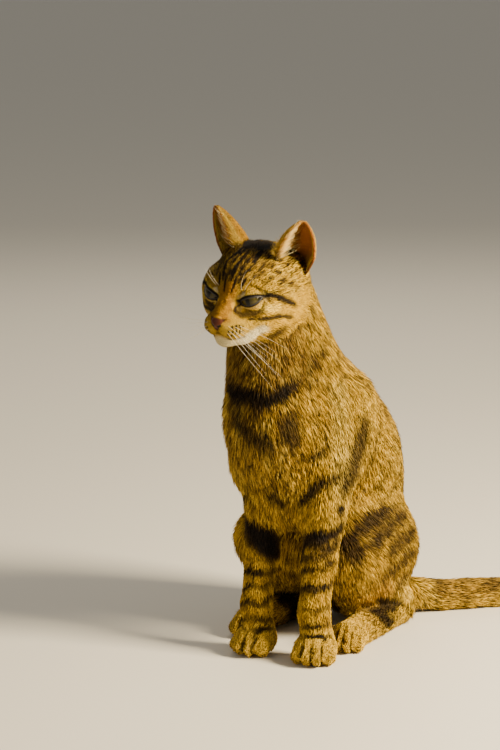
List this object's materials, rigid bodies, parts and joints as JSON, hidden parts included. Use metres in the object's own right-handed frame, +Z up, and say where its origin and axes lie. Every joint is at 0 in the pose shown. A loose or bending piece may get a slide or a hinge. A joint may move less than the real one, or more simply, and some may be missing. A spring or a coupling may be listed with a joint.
{
  "type": "sitting tabby cat model",
  "caption": "Life-size still model of a short-haired spotted tabby cat sitting upright, head turned to its right, tail laid out on the floor.",
  "frame": {"origin": "middle of the footprint of the cat and its tail, on the floor", "axes": "+Z up from the floor to the ears; the cat faces -Y, with its own left side on +X"},
  "size_m": [0.323, 0.3272, 0.3713],
  "materials": {
    "head": "short tabby fur, matt",
    "nose": "damp bare skin",
    "left_ear": "short fur outside, thin pale hair inside",
    "right_ear": "short fur outside, thin pale hair inside",
    "left_eye": "wet, glossy, olive green iris",
    "right_eye": "wet, glossy, olive green iris",
    "neck": "short tabby fur, matt",
    "chest": "short tabby fur, matt",
    "belly": "short tabby fur, matt",
    "rump": "short tabby fur, matt",
    "left_upper_foreleg": "short tabby fur, matt",
    "left_forearm": "short tabby fur, matt",
    "left_forepaw": "short tabby fur, matt",
    "right_upper_foreleg": "short tabby fur, matt",
    "right_forearm": "short tabby fur, matt",
    "right_forepaw": "short tabby fur, matt",
    "left_thigh": "short tabby fur, matt",
    "left_lower_leg": "short tabby fur, matt",
    "left_hind_foot": "short tabby fur, matt",
    "right_thigh": "short tabby fur, matt",
    "right_lower_leg": "short tabby fur, matt",
    "right_hind_foot": "short tabby fur, matt",
    "tail_root": "short tabby fur, matt",
    "tail_middle": "short tabby fur, matt",
    "tail_end": "short tabby fur, matt",
    "tail_tip": "short tabby fur, matt"
  },
  "bodies": {
    "root": {"head": "head", "nose": "nose", "left_ear": "left_ear", "right_ear": "right_ear", "left_eye": "left_eye", "right_eye": "right_eye", "neck": "neck", "chest": "chest", "belly": "belly", "rump": "rump", "left_upper_foreleg": "left_upper_foreleg", "left_forearm": "left_forearm", "left_forepaw": "left_forepaw", "right_upper_foreleg": "right_upper_foreleg", "right_forearm": "right_forearm", "right_forepaw": "right_forepaw", "left_thigh": "left_thigh", "left_lower_leg": "left_lower_leg", "left_hind_foot": "left_hind_foot", "right_thigh": "right_thigh", "right_lower_leg": "right_lower_leg", "right_hind_foot": "right_hind_foot", "tail_root": "tail_root", "tail_middle": "tail_middle", "tail_end": "tail_end", "tail_tip": "tail_tip"}
  },
  "joints": []
}
